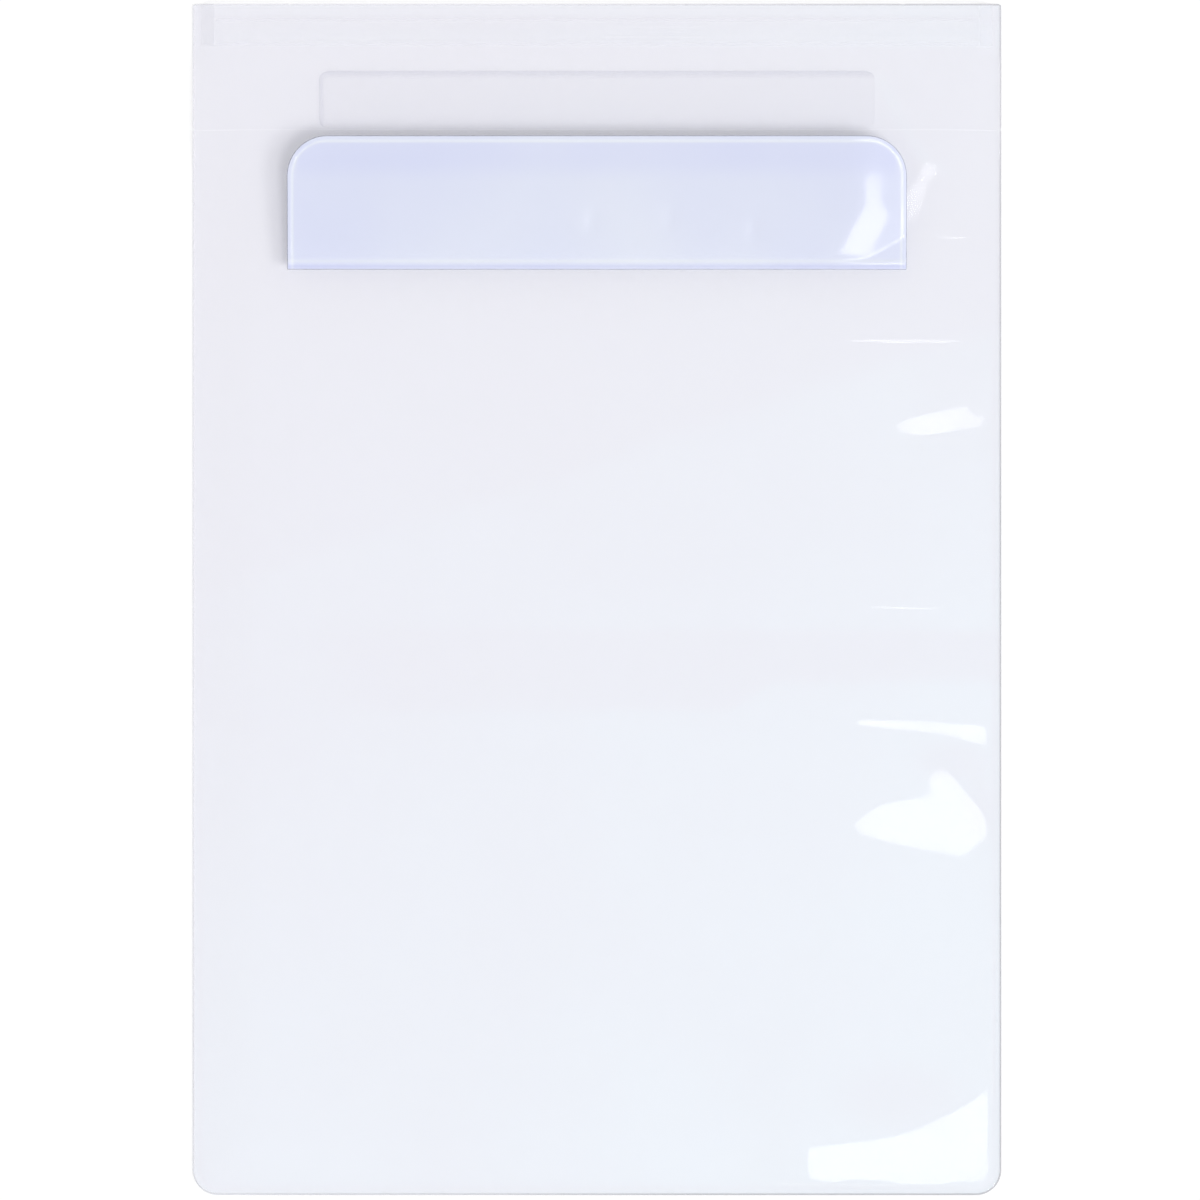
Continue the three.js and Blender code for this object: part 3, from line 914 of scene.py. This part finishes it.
# How far each mark on the flap shifts its colour, and for each line its place and its width
flapMarks = {
    # The first mark is a painted highlight just inside the flap's rim.
    "rimHighlight": 0.3,
    "rimWidth": 0.35,
    "rimFrom": 4.0,         # the rim's line follows the free edge only this far from the root
    "band": 0.13,
    "bandFrom": 114.5,
    "bandFromSoft": 7.0,
    "bandTo": 126.6,
    "bandToSoft": 0.8,
    "bandHalf": 83.5,
    "bandHalfSoft": 1.5,
    "rootDark": 0.28,
    "rootDarkAt": 0.8,
    "rootDarkWidth": 0.7,
    "rootLight": 0.2,
    "rootLightAt": 2.4,
    "rootLightWidth": 0.5,
}


# Shift of the flap's colour: a painted highlight along a line inside its rim, a light line above its root,
# and darker over the upper half of the hook strip and along the root's weld. Lines are bell curves, and
# the band is a product of smooth steps.
def flapTone(x, y):
    marks = flapMarks
    fromRoot = y - flap["root"]
    free = np.where(fromRoot > marks["rimFrom"], flapDepth(x, y), flap["half"] - np.abs(x))
    rimHighlight = np.exp(-((free - flap["rim"]) / marks["rimWidth"]) ** 2)
    lowerEnd = ease((y - marks["bandFrom"]) / marks["bandFromSoft"])
    alongBand = lowerEnd * ease((marks["bandTo"] - y) / marks["bandToSoft"])
    band = alongBand * ease((marks["bandHalf"] - np.abs(x)) / marks["bandHalfSoft"])
    rootDark = np.exp(-((fromRoot - marks["rootDarkAt"]) / marks["rootDarkWidth"]) ** 2)
    rootLight = np.exp(-((fromRoot - marks["rootLightAt"]) / marks["rootLightWidth"]) ** 2)
    light = marks["rimHighlight"] * rimHighlight + marks["rootLight"] * rootLight
    return light - marks["band"] * band - marks["rootDark"] * rootDark


# Rows and columns of the flap, finest at its root, round its two corners and along its sides
flapGrid = {
    "start": 0.2,
    "rootTo": 95.2,
    "rootStep": 0.22,
    "stepY": 0.75,
    "cornerRows": 22,
    "side": 3.0,
    "sideStep": 0.3,
    "stepX": 1.0,
}
cornerFrom = flap["end"] - flap["corner"]
quarter = np.linspace(0, math.pi / 2, flapGrid["cornerRows"])
ys = np.concatenate([
    spaced(flap["root"] + flapGrid["start"], flapGrid["rootTo"], flapGrid["rootStep"]),
    spaced(flapGrid["rootTo"], cornerFrom, flapGrid["stepY"])[1:],
    flap["end"] - flap["corner"] * (1 - np.sin(quarter))[1:],
])
sideIn = flap["half"] - flapGrid["side"]
rightSide = spaced(sideIn, flap["half"], flapGrid["sideStep"])
xs = np.unique(np.concatenate([-rightSide, spaced(-sideIn, sideIn, flapGrid["stepX"]), rightSide]))
below = np.clip(ys - cornerFrom, 0, flap["corner"])
rowHalf = flap["half"] - flap["corner"] + np.sqrt(flap["corner"] ** 2 - below ** 2)
x, y = outlineGrid(xs, ys, flap["half"], rowHalf)
middle = flapMiddle(x, y)
halfRim = 0.5 * flap["rim"]
rimRise = flap["rimHeight"] * (1 - ease((flapDepth(x, y) - halfRim) / halfRim))
upper = middle + flap["thick"] / 2 + rimRise
lower = middle - flap["thick"] / 2
flapSheet = closedSheet(
    "flapSheet", x, y, upper, lower, [tintedFilm, tintedEdgePaintedShading], roll=flap["edgeRoll"],
    tone=flapTone(x, y),
)
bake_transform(flapSheet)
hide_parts("flap_panel", "flap_weld_bar")


# The hook strip under the flap: half length, width, distance from the free edge, thickness and gap to
# the flap. The loop patch has its outline from the CAD node.
hook = {"half": 77.0, "width": 16.0, "inside": 0.9, "thick": 0.8, "gap": 0.05}
patch = {"thick": 0.65, "gap": 0.03}
# The tape's two rim widths at the top and left are the reach of the painted shade along those rims.
tape = {"corner": 2.5, "pile": 0.1, "paintedShadeTop": 2.6, "rimLeft": 2.0, "stepX": 0.9, "stepY": 0.5}


# A strip of tape with rounded corners, drawn in along quarter circles, and a pile of fine bumps on its
# lower face, the product of two slanted sine waves. Its tone is 1 along the rim at its top and left,
# where it shows through the film, and is painted shade on the sides that face away from the light.
def tapeStrip(name, low, high, topAt, thick, material):
    r = tape["corner"]
    xs = spaced(low[0], high[0], tape["stepX"])
    ys = spaced(low[1], high[1], tape["stepY"])
    x, y = np.meshgrid(xs, ys)
    inY = np.minimum(y - low[1], high[1] - y)
    pull = r - np.sqrt(np.maximum(r * r - np.clip(r - inY, 0, r) ** 2, 0))
    middle = (low[0] + high[0]) / 2
    x = middle + (x - middle) * (1 - pull / ((high[0] - low[0]) / 2))
    top = topAt(x, y)
    pile = tape["pile"] * np.sin(x * 7.1 + y * 2.3) * np.sin(y * 6.3 - x * 1.9)
    # Painted shade along the top and left rims
    paintedShadeTop = 1 - ease((high[1] - y) / tape["paintedShadeTop"])
    rimLeft = 1 - ease((x - low[0]) / tape["rimLeft"])
    tone = np.maximum(paintedShadeTop, rimLeft)
    return closedSheet(name, x, y, top, top - thick + pile, [material], roll=0.0, tone=tone)


# Top of the hook strip, just under the flap.
def hookTop(x, y):
    return flapMiddle(x, y) - flap["thick"] / 2 - hook["gap"]


# Top of the loop patch, just under the back film.
def loopTop(x, y):
    return backUnder(x, y) - patch["gap"]


hookStart = flap["end"] - hook["inside"] - hook["width"]
hookStrip = tapeStrip(
    "hookStrip", (-hook["half"], hookStart), (hook["half"], hookStart + hook["width"]), hookTop,
    hook["thick"], hookPile,
)
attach(hookStrip, "flap")
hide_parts("flap_hook_strip")

loopPatch = tapeStrip(
    "loopPatch", (patchLow[0], patchLow[1]), (patchHigh[0], patchHigh[1]), loopTop, patch["thick"],
    patchPile,
)
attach(loopPatch, "head")
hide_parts("loop_patch")
print("flap and tapes made")


# Floor, light and camera

studio = {
    "floorSize": 6.0,
    "floorDrop": 0.0002,
    "floorGrey": 0.87,
    "floorWhite": 1.35,
    "floorShown": 0.26,     # share of the floor that shows plain white, so that its shadow is soft
    "worldLight": 0.56,
    # name, strength, angle, half of the way from straight down to the light's own direction, and
    # whether glossy surfaces mirror it
    "suns": [
        ("keySun", 0.91, 14.5, (0.13, -0.14), True),
        ("lowSun", 0.98, 20.0, (0.32, -0.15), False),
    ],
    "cameraHeight": 3.0,
    "frameWidth": 0.3319,
    "centre": (0.00083, -0.00011),
}


# 1 for rays that the camera, a mirror or clear glass sends, and 0 for light that falls on things.
def seenRay(tree):
    path = tree.nodes.new("ShaderNodeLightPath")
    first = mathNode(tree, "MAXIMUM")
    second = mathNode(tree, "MAXIMUM")
    link(
        tree,
        (path.outputs["Is Camera Ray"], first.inputs[0]),
        (path.outputs["Is Glossy Ray"], first.inputs[1]),
        (first.outputs[0], second.inputs[0]),
        (path.outputs["Is Transmission Ray"], second.inputs[1]),
    )
    return second.outputs[0]


# A pale floor: diffuse paper, with a share of plain white for what the camera and mirrors see.
def makeFloor():
    size = studio["floorSize"] / 2
    mesh = bpy.data.meshes.new("floor")
    corners = [(-size, -size), (size, -size), (size, size), (-size, size)]
    mesh.from_pydata([(*corner, -studio["floorDrop"]) for corner in corners], [], [(0, 1, 2, 3)])
    obj = bpy.data.objects.new("floor", mesh)
    bpy.context.collection.objects.link(obj)
    material = bpy.data.materials.new("floorPaper")
    material.use_nodes = True
    tree = material.node_tree
    tree.nodes.remove(tree.nodes["Principled BSDF"])
    output = tree.nodes["Material Output"]
    paper = tree.nodes.new("ShaderNodeBsdfDiffuse")
    grey = studio["floorGrey"]
    paper.inputs["Color"].default_value = (grey, grey, grey, 1)
    white = tree.nodes.new("ShaderNodeEmission")
    white.inputs["Strength"].default_value = studio["floorWhite"]
    share = mathNode(tree, "MULTIPLY")
    share.inputs[1].default_value = studio["floorShown"]
    mix = tree.nodes.new("ShaderNodeMixShader")
    link(
        tree,
        (seenRay(tree), share.inputs[0]),
        (share.outputs[0], mix.inputs[0]),
        (paper.outputs[0], mix.inputs[1]),
        (white.outputs[0], mix.inputs[2]),
        (mix.outputs[0], output.inputs["Surface"]),
    )
    mesh.materials.append(material)


# Even light from all round, which the camera sees as plain white.
def makeWorld():
    world = bpy.data.worlds.new("studioWorld")
    bpy.context.scene.world = world
    world.use_nodes = True
    tree = world.node_tree
    back = tree.nodes["Background"]
    back.inputs["Color"].default_value = (1, 1, 1, 1)
    level = tree.nodes.new("ShaderNodeMapRange")
    level.inputs["To Min"].default_value = studio["worldLight"]
    level.inputs["To Max"].default_value = 1.0
    path = tree.nodes.new("ShaderNodeLightPath")
    link(
        tree,
        (path.outputs["Is Camera Ray"], level.inputs["Value"]),
        (level.outputs[0], back.inputs["Strength"]),
    )


# A soft sun. A surface with the slopes in tilt mirrors it to a camera straight above: the sun stands
# at the mirror image of straight up in that surface's normal.
def makeSun(name, strength, angle, tilt, mirrored):
    sun = bpy.data.lights.new(name, "SUN")
    sun.energy = strength
    sun.angle = math.radians(angle)
    obj = bpy.data.objects.new(name, sun)
    bpy.context.collection.objects.link(obj)
    obj.visible_glossy = mirrored
    half = Vector((*tilt, 1.0)).normalized()
    towards = 2 * half.z * half - Vector((0, 0, 1))
    obj.rotation_euler = towards.to_track_quat("Z", "Y").to_euler()


# A camera straight above the pocket. Its lens shows frameWidth at the height of the front film: the
# sensor's width times the distance over frameWidth.
def makeCamera():
    data = bpy.data.cameras.new("camera")
    data.sensor_width = 36.0
    distance = studio["cameraHeight"] - mouthPivot[2] * toMetres
    data.lens = data.sensor_width * distance / studio["frameWidth"]
    data.clip_start = 0.05
    data.clip_end = 50.0
    obj = bpy.data.objects.new("camera", data)
    bpy.context.collection.objects.link(obj)
    obj.location = (*studio["centre"], studio["cameraHeight"])
    bpy.context.scene.camera = obj


makeFloor()
makeWorld()
for sun in studio["suns"]:
    makeSun(*sun)
makeCamera()
bpy.context.scene.view_settings.view_transform = "Standard"
# Light goes down through up to a dozen film faces and back up again.
bpy.context.scene.cycles.transparent_max_bounces = 32
print("stage made")
